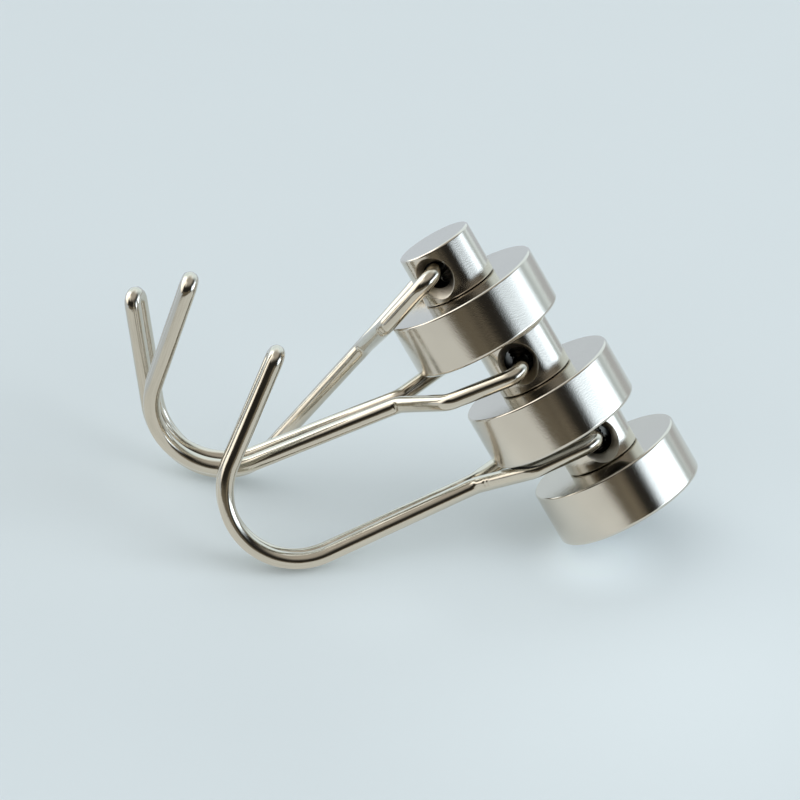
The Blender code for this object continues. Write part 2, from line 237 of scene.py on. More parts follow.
def dress(tree, shader, colour, rough, height, relief, metallic=1.0):
    """Give a shader its colour, its roughness and its relief in millimetres."""
    bump = add_node(tree, "Bump", {}, {"Strength": 1.0, "Distance": relief * MM,
                                       "Height": height})
    tree.links.new(colour.outputs[COLOUR_OUT], shader.inputs["Base Color"])
    tree.links.new(rough.outputs[0], shader.inputs["Roughness"])
    tree.links.new(bump.outputs[0], shader.inputs["Normal"])
    shader.inputs["Metallic"].default_value = metallic


def plated_steel(colours):
    """Bright nickel plate over turned steel: a mirror with a faint grain and a few pits."""
    material, tree, shader = new_material("bright_nickel_on_turned_steel")
    place = add_node(tree, "TexCoord").outputs["Object"]
    haze = add_node(tree, "TexNoise", {}, pattern(place, 5.0, 3.0))
    # Plating grain is too fine to show, so it is drawn coarser, at 0.16 mm
    grain = add_node(tree, "TexNoise", {}, pattern(place, 0.16, 2.0, 0.6))
    pits = specks(tree, place, 1.5, 0.06, 0.12)
    dulled = add_node(tree, "MapRange", SMOOTH, (haze, 0.3, 0.75, 0.0, 0.5))
    plate = add_node(tree, "Mix", RGBA, {0: dulled, COLOUR_A: opaque(colours.nickel),
                                         COLOUR_B: opaque(colours.nickel, 0.93)})
    pitted = add_node(tree, "Math", TIMES, (pits, 0.6))
    colour = add_node(tree, "Mix", RGBA, {0: pitted, COLOUR_A: plate.outputs[COLOUR_OUT],
                                          COLOUR_B: (0.16, 0.14, 0.11, 1.0)})
    hazy = add_node(tree, "MapRange", SMOOTH, (haze, 0.3, 0.8, 0.085, 0.13))
    grainy = add_node(tree, "Math", TIMES, (grain, 0.03))
    rough = add_node(tree, "Math", PLUS, (hazy, grainy))
    holes = add_node(tree, "Math", TIMES, (pits, 2.5))
    height = add_node(tree, "Math", MINUS, (grain, holes))
    dress(tree, shader, colour, rough, height, 0.009)
    return material


def plated_wire(colours):
    """Bright nickel plate over drawn wire: fine draw lines run along it, dulled in patches."""
    material, tree, shader = new_material("bright_nickel_on_drawn_wire")
    coordinates = add_node(tree, "TexCoord")
    place = coordinates.outputs["Object"]
    along = add_node(tree, "Mapping", {}, {"Vector": coordinates.outputs["UV"],
                                           "Scale": (0.05, 1.0, 1.0)})
    # Draw lines are too fine to show, so they are drawn coarser, at 0.22 mm
    lines = add_node(tree, "TexNoise", {}, pattern(along, 0.22, 3.0, 0.6))
    grain = add_node(tree, "TexNoise", {}, pattern(place, 0.17, 2.0, 0.6))
    haze = add_node(tree, "TexNoise", {}, pattern(place, 3.0))
    pits = specks(tree, place, 1.2, 0.07, 0.12)
    dulled = add_node(tree, "MapRange", SMOOTH, (lines, 0.35, 0.75, 0.0, 0.7))
    plate = add_node(tree, "Mix", RGBA, {0: dulled, COLOUR_A: opaque(colours.nickel_wire),
                                         COLOUR_B: opaque(colours.nickel_wire, 0.86)})
    pitted = add_node(tree, "Math", TIMES, (pits, 0.6))
    colour = add_node(tree, "Mix", RGBA, {0: pitted, COLOUR_A: plate.outputs[COLOUR_OUT],
                                          COLOUR_B: (0.15, 0.13, 0.10, 1.0)})
    hazy = add_node(tree, "MapRange", SMOOTH, (haze, 0.35, 0.75, 0.09, 0.15))
    lined = add_node(tree, "Math", TIMES, (lines, 0.04))
    rough = add_node(tree, "Math", PLUS, (hazy, lined))
    ridges = add_node(tree, "Math", TIMES, (lines, 1.6))
    raised = add_node(tree, "Math", PLUS, (ridges, grain))
    holes = add_node(tree, "Math", TIMES, (pits, 2.0))
    height = add_node(tree, "Math", MINUS, (raised, holes))
    dress(tree, shader, colour, rough, height, 0.004)
    return material


def marked_metal(name, shades, marks, stretch, rough_limits, relief):
    """Metal whose tool marks, given by spacing, detail and roughness, shade and raise it.

    Real tool marks are too fine to show, so each kind is drawn coarser than it is.
    """
    material, tree, shader = new_material(name)
    place = add_node(tree, "TexCoord").outputs["Object"]
    along = add_node(tree, "Mapping", {}, {"Vector": place, "Scale": (stretch, 1.0, 1.0)})
    noise = add_node(tree, "TexNoise", {}, pattern(along, *marks))
    colour = add_node(tree, "Mix", RGBA, {0: noise, COLOUR_A: shades[0], COLOUR_B: shades[1]})
    rough = add_node(tree, "MapRange", SMOOTH, (noise, *rough_limits))
    dress(tree, shader, colour, rough, noise, relief)
    return material


def ground_magnet(colours):
    """Nickel over a ground magnet: dull, with fine parallel grinding lines."""
    return marked_metal("dull_nickel_on_ground_magnet",
                        (opaque(colours.magnet, 0.82), opaque(colours.magnet)),
                        (0.15, 3.0, 0.6), 0.04, (0.2, 0.8, 0.22, 0.36), 0.006)


def bare_steel(colours):
    """Turned carbon steel, oiled: fine lathe marks and a dull grey sheen."""
    return marked_metal("turned_bare_steel", (opaque(colours.steel, 0.8), opaque(colours.steel)),
                        (0.12, 2.0, 0.7), 1.0, (0.2, 0.8, 0.26, 0.40), 0.008)


def drilled_bore(colours):
    """Oily steel in the drilled hole, coloured near black as painted shade deep in the bore, with
    drill marks.
    """
    return marked_metal("steel_with_painted_shade_in_bore",
                        # The near black tones are painted shade in the deep, narrow hole
                        ((0.035, 0.031, 0.027, 1.0), (0.085, 0.078, 0.068, 1.0)),
                        (0.2, 3.0, 0.7), 1.0, (0.3, 0.8, 0.34, 0.5), 0.01)


def satin_countersink(colours):
    """Nickel over the turned cone of the hole's mouth: satin, from the marks of the tool."""
    return marked_metal("satin_nickel_in_countersink",
                        (opaque(colours.nickel, 0.78), opaque(colours.nickel)),
                        (0.14, 3.0, 0.7), 1.0, (0.2, 0.8, 0.26, 0.36), 0.006)


def cast_resin(colours):
    """Black epoxy poured and cured: glossy, slightly wavy, with pinholes from air."""
    material, tree, shader = new_material("black_cast_epoxy")
    place = add_node(tree, "TexCoord").outputs["Object"]
    waves = add_node(tree, "TexNoise", {}, pattern(place, 1.4))
    pinholes = specks(tree, place, 0.7, 0.16, 0.25)
    colour = add_node(tree, "Mix", RGBA, {0: waves, COLOUR_A: opaque(colours.resin),
                                          COLOUR_B: opaque(colours.resin, 1.7)})
    rough = add_node(tree, "MapRange", SMOOTH, (waves, 0.3, 0.7, 0.28, 0.42))
    swells = add_node(tree, "Math", TIMES, (waves, 3.0))
    height = add_node(tree, "Math", MINUS, (swells, pinholes))
    dress(tree, shader, colour, rough, height, 0.02, metallic=0.0)
    return material


def finish_for(kind):
    """The material of one finish, made when it is first asked for."""
    makers = {"bright_nickel_on_turned_steel": plated_steel,
              "bright_nickel_on_drawn_wire": plated_wire,
              "dull_nickel_on_ground_magnet": ground_magnet,
              "black_cast_epoxy": cast_resin,
              "turned_bare_steel": bare_steel,
              "steel_with_painted_shade_in_bore": drilled_bore,
              "satin_nickel_in_countersink": satin_countersink}
    made = bpy.data.materials.get(kind)
    return made or makers[kind](bpy.context.scene.hook_colours)


def lean_rotation():
    """Rotation that takes an upright hook into the leaning stack."""
    lean, heading = math.radians(LEAN_DEGREES), math.radians(HEADING_DEGREES)
    axis = Vector((math.sin(lean) * math.cos(heading), math.sin(lean) * math.sin(heading),
                   math.cos(lean)))
    side = Vector((0, 1, 0)).cross(axis).normalized()
    return Matrix((side, axis.cross(side), axis)).transposed()


def joint_place(name):
    """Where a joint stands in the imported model."""
    for joint in frame["joints"]:
        if joint["name"] == name:
            return Vector(joint["pos_m"])
    raise RuntimeError(f"the packed model has no joint {name}")


def pot_matrix(number):
    """Place and lean of one pot, its foot at the origin."""
    return Matrix.Translation(joint_place(f"swivel_{number}")) @ lean_rotation().to_4x4()


def head_matrix(number):
    """Place of one head, turned on its pot."""
    turn = math.radians(SWIVEL_DEGREES[number - 1])
    return pot_matrix(number) @ Matrix.Rotation(turn, 4, "Z")


def wire_matrix(number):
    """Place of one wire: its swing in the head and its cant in the hole."""
    index = number - 1
    turn = Matrix.Rotation(math.radians(SWIVEL_DEGREES[index]), 4, "Z")
    swing = Matrix.Rotation(-math.radians(SWING_DEGREES[index]), 4, "Y")
    yaw = Matrix.Rotation(math.radians(YAW_DEGREES[index]), 4, "Z")
    roll = Matrix.Rotation(math.radians(ROLL_DEGREES[index]), 4, "X")
    start = Matrix.Translation(joint_place(f"swing_{number}"))
    return start @ lean_rotation().to_4x4() @ turn @ swing @ yaw @ roll


def rounded_outline(corners, closed, steps):
    """Outline of a turned piece with its corners rounded, and the way each point faces.

    Each corner is a radius, a height and a rounding. The outline runs outwards over the top,
    down the outside and back inwards.
    """
    outline = []
    count = len(corners)
    for index, (radius, height, rounding) in enumerate(corners):
        point = np.array([radius, height], float)
        before = np.array(corners[index - 1][:2], float)
        after = np.array(corners[(index + 1) % count][:2], float)
        if not closed and index in (0, count - 1):
            way = after - point if index == 0 else point - before
            way /= np.linalg.norm(way)
            outline.append((radius, height, -way[1], way[0]))
            continue
        way_in = (point - before) / np.linalg.norm(point - before)
        way_out = (after - point) / np.linalg.norm(after - point)
        start_angle = math.atan2(way_in[1], way_in[0])
        cross = way_in[0] * way_out[1] - way_in[1] * way_out[0]
        turn = math.atan2(cross, way_in @ way_out)
        side = math.copysign(1, turn)
        start = point - way_in * rounding * math.tan(abs(turn) / 2)
        centre = start + side * rounding * np.array([-way_in[1], way_in[0]])
        for step in range(steps + 1):
            angle = start_angle + turn * step / steps
            left = np.array([-math.sin(angle), math.cos(angle)])
            place = centre - side * rounding * left
            outline.append((place[0], place[1], left[0], left[1]))
    return outline


def turned_mesh(name, corners, closed, segments, steps):
    """Turn a rounded outline about Z, with the true normal at every point."""
    outline = rounded_outline(corners, closed, steps)
    points, normals, rings = [], [], []
    for radius, height, out, up in outline:
        if radius < 0.001:
            rings.append([len(points)] * segments)
            points.append((0, 0, height))
            normals.append((0, 0, math.copysign(1, up)))
            continue
        rings.append(list(range(len(points), len(points) + segments)))
        for segment in range(segments):
            angle = math.tau * segment / segments
            points.append((radius * math.cos(angle), radius * math.sin(angle), height))
            normals.append((out * math.cos(angle), out * math.sin(angle), up))
    faces = []
    for upper, lower in zip(rings, rings[1:] + rings[:1] if closed else rings[1:]):
        for segment in range(segments):
            after = (segment + 1) % segments
            face = list(dict.fromkeys((upper[segment], lower[segment], lower[after],
                                       upper[after])))
            if len(face) > 2:
                faces.append(face)
    mesh = bpy.data.meshes.new(name)
    mesh.from_pydata([tuple(c * MM for c in point) for point in points], [], faces)
    mesh.shade_smooth()
    mesh.normals_split_custom_set_from_vertices(normals)
    return mesh


def add_piece(name, mesh, matrix, body, finishes, node):
    """Put a finished mesh in place, on its body and for its node."""
    mesh.transform(matrix)
    for finish in finishes:
        mesh.materials.append(finish_for(finish))
    piece = bpy.data.objects.new(name, mesh)
    bpy.context.scene.collection.objects.link(piece)
    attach(piece, body)
    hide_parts(node)


def pot_corners(sizes):
    """Corners of the pot: top, outside, rim, bore, ceiling, counterbore and pin hole."""
    radius, height = sizes.cup_diameter / 2 / MM, sizes.cup_height / MM
    ceiling = height - CUP_TOP_THICKNESS
    bore = radius - CUP_WALL
    counterbore = FLANGE_DIAMETER / 2 + NEST_GAP
    step = ceiling + FLANGE_THICKNESS + 2 * NEST_GAP
    pin_hole = SHOULDER_DIAMETER / 2 + NEST_GAP
    return [(pin_hole, height, 0.08), (radius, height, sizes.cup_top_edge / MM),
            (radius, 0, sizes.cup_rim_edge / MM), (bore, 0, 0.12), (bore, ceiling, 0.2),
            (counterbore, ceiling, 0.05), (counterbore, step, 0.05), (pin_hole, step, 0.05)]


def magnet_corners(sizes):
    """Corners of the disc magnet."""
    top = sizes.cup_height / MM - CUP_TOP_THICKNESS - NEST_GAP
    radius = MAGNET_DIAMETER / 2
    return [(0, top, 0), (radius, top, 0.25), (radius, 0.1, 0.3), (0, 0.1, 0)]


def resin_corners(sizes):
    """Corners of the resin ring, its face drawn up a little at both walls."""
    top = sizes.cup_height / MM - CUP_TOP_THICKNESS - NEST_GAP
    inner = MAGNET_DIAMETER / 2 + NEST_GAP
    outer = sizes.cup_diameter / 2 / MM - CUP_WALL - NEST_GAP
    middle = (inner + outer) / 2
    return [(inner, top, 0.05), (outer, top, 0.05), (outer, 0.2, 0.04), (middle, 0.32, 0.3),
            (inner, 0.2, 0.04)]


def washer_corners(sizes):
    """Corners of the thrust washer."""
    foot = sizes.cup_height / MM + SHIM_GAP
    top = foot + WASHER_THICKNESS
    inner, outer = SHOULDER_DIAMETER / 2 + NEST_GAP, WASHER_DIAMETER / 2
    return [(inner, top, 0.02), (outer, top, 0.04), (outer, foot, 0.04), (inner, foot, 0.02)]


def pin_corners(sizes):
    """Corners of the swivel pin: threaded end, shoulder and flange."""
    foot = sizes.cup_height / MM - CUP_TOP_THICKNESS + NEST_GAP
    thread, shoulder, flange = THREAD_DIAMETER / 2, SHOULDER_DIAMETER / 2, FLANGE_DIAMETER / 2
    seat = HEAD_BASE - NEST_GAP
    collar = foot + FLANGE_THICKNESS
    corners = [(0, PIN_TOP, 0), (thread - 0.25, PIN_TOP, 0.05)]
    turns = int((PIN_TOP - seat) / 0.5)
    for turn in range(turns):
        crest = PIN_TOP - 0.25 - turn * 0.5
        corners += [(thread, crest, 0.04), (thread - 0.2, crest - 0.25, 0.04)]
    return corners + [(thread - 0.2, seat, 0.04), (shoulder, seat, 0.08),
                      (shoulder, collar, 0.05), (flange, collar, 0.1), (flange, foot, 0.1),
                      (0, foot, 0)]


def head_corners(sizes):
    """Corners of the swivel head and its blind bore."""
    radius, height = sizes.head_diameter / 2 / MM, sizes.head_height / MM
    edge = sizes.head_edge / MM
    bore = THREAD_DIAMETER / 2 + NEST_GAP
    end = PIN_TOP - HEAD_BASE + NEST_GAP
    skirt, inside = -HEAD_SKIRT, WASHER_DIAMETER / 2 + 0.12
    return [(0, height, 0), (radius, height, edge), (radius, skirt, edge * 0.8),
            (inside, skirt, 0.03), (inside, 0, 0.03), (bore, 0, 0.1), (bore, end, 0.05),
            (0, end, 0)]


def hole_axis(sizes, number):
    """Height of a head's cross hole over the pot's foot."""
    return HEAD_BASE + HOLE_HEIGHT + HOLE_TRIM_SHARES[number - 1] * sizes.head_height / MM


def mouth_reach(radius, angle):
    """How far the countersink's cone reaches on the round head, at one angle of the mouth."""
    slope = (COUNTERSINK_DIAMETER - HOLE_DIAMETER) / 2 / COUNTERSINK_DEPTH
    reach = COUNTERSINK_DIAMETER / 2
    for _ in range(20):
        fall = radius - math.sqrt(radius ** 2 - (reach * math.cos(angle)) ** 2)
        reach = COUNTERSINK_DIAMETER / 2 - slope * fall
    return reach


def hole_cutter(sizes, number):
    """Tool that cuts the cross hole: a bore, a cone at each end and a lip that follows the head."""
    radius = sizes.head_diameter / 2 / MM
    axis = hole_axis(sizes, number)
    bore = HOLE_DIAMETER / 2
    floor = radius - COUNTERSINK_DEPTH
    mouths = [mouth_reach(radius, math.tau * segment / HOLE_SEGMENTS)
              for segment in range(HOLE_SEGMENTS)]
    # Lip: how far each ring lies past the mouth, and over the head's surface
    lip = [(0.24, 0.13), (0.06, -0.02), (0.0, -0.08), (-0.06, -0.16)]
    # Throat: each ring's radius, and how far it lies from the head's axis
    throat = [(bore + 0.26, floor + 0.30), (bore + 0.10, floor + 0.10),
              (bore + 0.02, floor - 0.02), (bore, floor - 0.12)]
    rings = [[(mouth + 0.24, radius + 0.6, False) for mouth in mouths]]
    for past, over in lip:
        rings.append([(mouth + past, over, True) for mouth in mouths])
    for ring_radius, depth in throat:
        rings.append([(ring_radius, depth, False)] * HOLE_SEGMENTS)
    points = []
    for side in (1, -1):
        order = rings if side == 1 else rings[::-1]
        for ring in order:
            for segment, (ring_radius, depth, follows) in enumerate(ring):
                angle = math.tau * segment / HOLE_SEGMENTS
                along = ring_radius * math.cos(angle)
                surface = math.sqrt(radius ** 2 - min(along ** 2, radius ** 2 * 0.98))
                out = surface + depth if follows else depth
                points.append((along * MM, side * out * MM,
                               (axis + ring_radius * math.sin(angle)) * MM))
    count = 2 * len(rings)
    faces = []
    for ring in range(count - 1):
        for segment in range(HOLE_SEGMENTS):
            after = (segment + 1) % HOLE_SEGMENTS
            low, high = ring * HOLE_SEGMENTS, (ring + 1) * HOLE_SEGMENTS
            faces.append([low + segment, low + after, high + after, high + segment])
    faces.append(list(range(HOLE_SEGMENTS))[::-1])
    last = (count - 1) * HOLE_SEGMENTS
    faces.append([last + segment for segment in range(HOLE_SEGMENTS)])
    mesh = bpy.data.meshes.new("cross_hole_cutter")
    mesh.from_pydata(points, [], faces)
    mesh.shade_smooth()
    return mesh


def surface_normals(mesh, flip):
    """Search tree over a mesh's triangles, and the normal at each of their corners."""
    mesh.calc_loop_triangles()
    places = [vertex.co.copy() for vertex in mesh.vertices]
    corner_normals = [Vector(normal.vector) for normal in mesh.corner_normals]
    triangles = [tuple(triangle.vertices) for triangle in mesh.loop_triangles]
    normals = [[corner_normals[loop] * flip for loop in triangle.loops]
               for triangle in mesh.loop_triangles]
    return BVHTree.FromPolygons(places, triangles), places, triangles, normals


def normal_at(source, place):
    """Smooth normal of a surface at the point nearest to a place."""
    tree, places, triangles, normals = source
    nearest, _, index, _ = tree.find_nearest(place)
    corners = [places[vertex] for vertex in triangles[index]]
    weights = barycentric(nearest, corners)
    blended = sum((normal * weight for normal, weight in zip(normals[index], weights)), Vector())
    return blended.normalized()


def barycentric(point, corners):
    """Weights of a triangle's corners at a point in its plane."""
    first, second, third = corners
    edge_one, edge_two, offset = second - first, third - first, point - first
    one_one, one_two = edge_one.dot(edge_one), edge_one.dot(edge_two)
    two_two = edge_two.dot(edge_two)
    off_one, off_two = offset.dot(edge_one), offset.dot(edge_two)
    area = one_one * two_two - one_two * one_two
    if area < 1e-24:
        return 1.0, 0.0, 0.0
    along = (two_two * off_one - one_two * off_two) / area
    across = (one_one * off_two - one_two * off_one) / area
    return 1 - along - across, along, across


def drilled_head(name, sizes, number):
    """Head blank with its cross hole cut, shaded with the normals of blank and cutter."""
    blank = turned_mesh(name, head_corners(sizes), False, HEAD_SEGMENTS, OUTER_EDGE_STEPS)
    blank.transform(Matrix.Translation((0, 0, HEAD_BASE * MM)))
    cutter = hole_cutter(sizes, number)
    body = bpy.data.objects.new(name + "_blank", blank)
    tool = bpy.data.objects.new(name + "_tool", cutter)
    for item in (body, tool):
        bpy.context.scene.collection.objects.link(item)
    cut = body.modifiers.new("Cross hole", "BOOLEAN")
    cut.operation = "DIFFERENCE"
    cut.solver = "EXACT"
    cut.object = tool
    bpy.context.view_layer.update()
    evaluated = body.evaluated_get(bpy.context.evaluated_depsgraph_get())
    mesh = bpy.data.meshes.new_from_object(evaluated)
    mesh.name = name
    sources = (surface_normals(blank, 1), surface_normals(cutter, -1))
    axis = hole_axis(sizes, number)
    normals = [Vector((0, 0, 1))] * len(mesh.loops)
    for face in mesh.polygons:
        distances = [source[0].find_nearest(face.center)[3] for source in sources]
        source = sources[0] if distances[0] <= distances[1] else sources[1]
        if source is sources[1]:
            off_axis = math.hypot(face.center.x, face.center.z - axis * MM) / MM
            face.material_index = 1 if off_axis < HOLE_DIAMETER / 2 + 0.03 else 2
        for loop in face.loop_indices:
            place = mesh.vertices[mesh.loops[loop].vertex_index].co
            normals[loop] = normal_at(source, place.lerp(face.center, 0.002))
    mesh.shade_smooth()
    mesh.normals_split_custom_set(normals)
    for item in (body, tool):
        bpy.data.objects.remove(item)
    return mesh


def arc_points(centre, radius, start, stop, steps):
    """Points round a circular arc, angles in degrees."""
    angles = np.radians(np.linspace(start, stop, steps + 1))
    return [(centre[0] + radius * math.cos(a), centre[1] + radius * math.sin(a)) for a in angles]


def kink_points(corner, angle_in, angle_out, steps):
    """A rounded kink of the wire in its own plane, turning between two headings."""
    turn = angle_out - angle_in
    side = math.copysign(1, turn)
    start = Vector(corner) - KINK_RADIUS * math.tan(abs(turn) / 2) * Vector(
        (math.cos(angle_in), math.sin(angle_in)))
    centre = start + KINK_RADIUS * side * Vector((-math.sin(angle_in), math.cos(angle_in)))
    points = []
    for step in range(steps + 1):
        heading = angle_in + turn * step / steps
        points.append(centre - KINK_RADIUS * side * Vector((-math.sin(heading), math.cos(heading))))
    return points


def wire_strand(index):
    """Centre line of one strand in the wire's own frame, from its end to the middle of the tip."""
    fork = FORK_LENGTH * (1 + FORK_TRIM_SHARES[index])
    shank = SHANK_LENGTH * (1 + SHANK_TRIM_SHARES[index])
    bend = math.radians(BEND_DEGREES + BEND_TRIM_DEGREES[index])
    kink = math.radians(KINK_DEGREES)
    join = fork + (LEG_OFFSET - STRAND_OFFSET) / math.tan(kink)
    flat = [(0, WIRE_END_REACH)]
    flat += arc_points((EYE_BEND_RADIUS, LEG_OFFSET - EYE_BEND_RADIUS), EYE_BEND_RADIUS,
                       180, 90, 12)
    flat += kink_points((fork, LEG_OFFSET), 0, -kink, 8)
    flat += kink_points((join, STRAND_OFFSET), -kink, 0, 8)
    points = [Vector((along, across, 0)) for along, across in flat]
    for angle in np.linspace(0, bend, 49):
        points.append(Vector((shank + BEND_RADIUS * math.sin(angle), STRAND_OFFSET,
                              BEND_RADIUS * (1 - math.cos(angle)))))
    heading = Vector((math.cos(bend), 0, math.sin(bend)))
    foot = points[-1] + heading * TIP_LENGTH
    for angle in np.linspace(0, math.pi / 2, 11):
        forward = heading * (STRAND_OFFSET * math.sin(angle))
        points.append(foot + forward - Vector((0, STRAND_OFFSET * (1 - math.cos(angle)), 0)))
    return points, fork, join, shank


def even_steps(points, fork_start, fork_stop):
    """Resample a line at even steps, finer along the fork."""
    points = np.array([tuple(point) for point in points])
    lengths = np.concatenate([[0], np.cumsum(np.linalg.norm(np.diff(points, axis=0), axis=1))])
    places, at = [0.0], 0.0
    while at < lengths[-1]:
        here = [np.interp(at, lengths, points[:, axis]) for axis in range(3)]
        at += FORK_STEP if fork_start < here[0] < fork_stop and abs(here[2]) < 0.5 else WIRE_STEP
        places.append(min(at, lengths[-1]))
    return np.stack([np.interp(places, lengths, points[:, axis]) for axis in range(3)], 1)


def swept_mesh(name, path, section):
    """Sweep a round section along a path, with the section's shape given at each point."""
    steps = np.diff(path, axis=0)
    steps /= np.linalg.norm(steps, axis=1)[:, None]
    tangents = np.vstack([steps[:1], steps[:-1] + steps[1:], steps[-1:]])
    tangents /= np.linalg.norm(tangents, axis=1)[:, None]
    up = np.array([0.0, 0.0, 1.0])
    lengths = np.concatenate([[0], np.cumsum(np.linalg.norm(np.diff(path, axis=0), axis=1))])
    points, texture = [], []
    for step, (place, tangent) in enumerate(zip(path, tangents)):
        up = up - tangent * (up @ tangent)
        up /= np.linalg.norm(up)
        across = np.cross(tangent, up)
        for segment in range(WIRE_SEGMENTS):
            angle = math.tau * segment / WIRE_SEGMENTS
            out, over = section(step, math.cos(angle), math.sin(angle))
            points.append(place + across * out + up * over)
    rings = len(path)
    faces = []
    for ring in range(rings - 1):
        for segment in range(WIRE_SEGMENTS):
            after = (segment + 1) % WIRE_SEGMENTS
            low, high = ring * WIRE_SEGMENTS, (ring + 1) * WIRE_SEGMENTS
            faces.append([low + segment, low + after, high + after, high + segment])
    faces.append(list(range(WIRE_SEGMENTS))[::-1])
    faces.append([(rings - 1) * WIRE_SEGMENTS + segment for segment in range(WIRE_SEGMENTS)])
    mesh = bpy.data.meshes.new(name)
    mesh.from_pydata([tuple(point * MM) for point in points], [], faces)
    layer = mesh.uv_layers.new(name="along_wire")
    for face in mesh.polygons:
        columns = [mesh.loops[loop].vertex_index % WIRE_SEGMENTS for loop in face.loop_indices]
        wraps = max(columns) - min(columns) > WIRE_SEGMENTS / 2
        for loop, column in zip(face.loop_indices, columns):
            ring = mesh.loops[loop].vertex_index // WIRE_SEGMENTS
            turn = column + WIRE_SEGMENTS if wraps and column == 0 else column
            layer.data[loop].uv = (lengths[ring] * MM, turn / WIRE_SEGMENTS * 6.6 * MM)
    mesh.shade_smooth()
    mesh.update()
    return mesh


def wire_mesh(name, number, sizes):
    """One folded wire: round strands, pressed flat between the kinks, nicked by the tool."""
    index = number - 1
    strand, fork, join, shank = wire_strand(index)
    radius = sizes.wire_diameter / 2 / MM
    half = even_steps(strand, fork - 2.5, join + 3.0)
    mirrored = half[:-1][::-1] * np.array([1, -1, 1])
    path = np.vstack([half, mirrored])
    flat_start, flat_stop = fork - 1.4, join + 1.3
    phases = np.random.default_rng(number).uniform(0, math.tau, 4)

    def section(step, cosine, sine):
        """Where one point of the section lies: across the strand and over it."""
        along, aside, height = path[step]
        pressed = 0.0
        if abs(height) < 0.4 and flat_start < along < flat_stop:
            pressed = min(1.0, (along - flat_start) / PRESS_FADE,
                          (flat_stop - along) / PRESS_FADE)
        across = max(cosine, PRESS_SHARE * pressed - 1)
        scale = radius * (1 + 0.004 * math.sin(along * 1.1 + phases[0])
                          + 0.003 * math.sin(along * 2.7 + phases[1]))
        for past, round_angle, depth in TOOL_MARKS[index] if aside > 0 else ():
            gap = (along - fork - past) / MARK_LENGTH
            lean = (math.atan2(sine, -cosine) - round_angle) / MARK_WIDTH
            scale -= depth * math.exp(-gap * gap - lean * lean)
        return across * scale, sine * scale

    mesh = swept_mesh(name, path, section)
    twist = math.radians(TWIST_DEGREES[index])
    for vertex in mesh.vertices:
        x, z = vertex.co.x / MM, vertex.co.z / MM
        share = min(max((x - join) / (shank - join), 0), 1)
        if z > radius * 1.5:
            share = 1
        vertex.co = Matrix.Rotation(twist * share, 3, "X") @ vertex.co
    return mesh


class HOOKS_OT_pots(bpy.types.Operator):
    """Turn the steel pots, with their top edges and rims rounded"""

    bl_idname = "hooks.pots"
    bl_label = "Pots"

    def execute(self, context):
        sizes = context.scene.hook_sizes
        for number in HOOKS:
            mesh = turned_mesh(f"pot_{number}", pot_corners(sizes), True, CUP_SEGMENTS,
                               OUTER_EDGE_STEPS)
            add_piece(f"pot_{number}", mesh, pot_matrix(number), f"base_{number}",
                      ("bright_nickel_on_turned_steel",), f"cup_{number}")
        return {"FINISHED"}


class HOOKS_OT_pot_insides(bpy.types.Operator):
    """Fill the pots with magnet and resin, and add washer and swivel pin"""

    bl_idname = "hooks.pot_insides"
    bl_label = "Magnets, resin, washers and pins"

    def execute(self, context):
        sizes = context.scene.hook_sizes
        kinds = (("disc_magnet", magnet_corners, False, "base", "dull_nickel_on_ground_magnet",
                  "magnet_nickel", "magnet"),
                 ("resin_fill", resin_corners, True, "base", "black_cast_epoxy",
                  "potting_resin", "resin_ring"),
                 ("thrust_ring", washer_corners, True, "base", "turned_bare_steel",
                  "washer_steel", "thrust_washer"),
                 ("threaded_pin", pin_corners, False, "head", "turned_bare_steel",
                  "pin_steel", "swivel_pin"))
        for number in HOOKS:
            for stem, corners, closed, body, finish, slot, node in kinds:
                mesh = turned_mesh(f"{stem}_{number}", corners(sizes), closed, INSIDE_SEGMENTS,
                                   INSIDE_EDGE_STEPS)
                add_piece(f"{stem}_{number}", mesh, pot_matrix(number), f"{body}_{number}",
                          (finish,), f"{node}_{number}")
        return {"FINISHED"}


class HOOKS_OT_heads(bpy.types.Operator):
    """Turn the swivel heads and drill their countersunk cross holes"""

    bl_idname = "hooks.heads"
    bl_label = "Swivel heads"

    def execute(self, context):
        sizes = context.scene.hook_sizes
        for number in HOOKS:
            mesh = drilled_head(f"drilled_head_{number}", sizes, number)
            add_piece(f"drilled_head_{number}", mesh, head_matrix(number), f"head_{number}",
                      ("bright_nickel_on_turned_steel", "steel_with_painted_shade_in_bore",
                       "satin_nickel_in_countersink"), f"swivel_head_{number}")
        return {"FINISHED"}


class HOOKS_OT_wires(bpy.types.Operator):
    """Fold the wires: two legs, two kinks, two strands side by side and one bend"""

    bl_idname = "hooks.wires"
    bl_label = "Wire hooks"

    def execute(self, context):
        sizes = context.scene.hook_sizes
        for number in HOOKS:
            mesh = wire_mesh(f"folded_wire_{number}", number, sizes)
            add_piece(f"folded_wire_{number}", mesh, wire_matrix(number), f"wire_{number}",
                      ("bright_nickel_on_drawn_wire",), f"wire_hook_{number}")
        return {"FINISHED"}


# What the metal sees round it: name, azimuth from the camera's side (+ is right), elevation,
# softness of both, all in degrees, then colour and strength. None is where it has no edge.
SURROUNDINGS = (
    ("ceiling", (None, None), (48, None), (0, 16), "f2ece2", 0.56),
    ("back_wall", (118, 250), (-20, 60), (20, 20), "dfeef5", 0.68),
    ("back_wall_left", (-250, -118), (-20, 60), (20, 20), "dfeef5", 0.66),
    ("right_softbox", (51, 105), (-30, 16), (11, 14), "dfefff", 5.6),
    ("left_softbox", (-134, -74), (0, 58), (12, 10), "fffaf2", 1.9),
    ("left_upper_panel", (-80, -38), (38, 64), (10, 8), "fffaf2", 0.6),
    ("brown_room", (-60, 28), (-30, 7), (4, 4), "6c6557", 0.95),
    ("lighter_door", (12, 27), (-10, 11), (3, 3), "6c6557", 0.75),
    ("dark_room", (None, None), (None, None), (0, 0), "2c2a26", 1.0),
)

# Even light that the matt table gets from all round
EVEN_LIGHT = 0.77
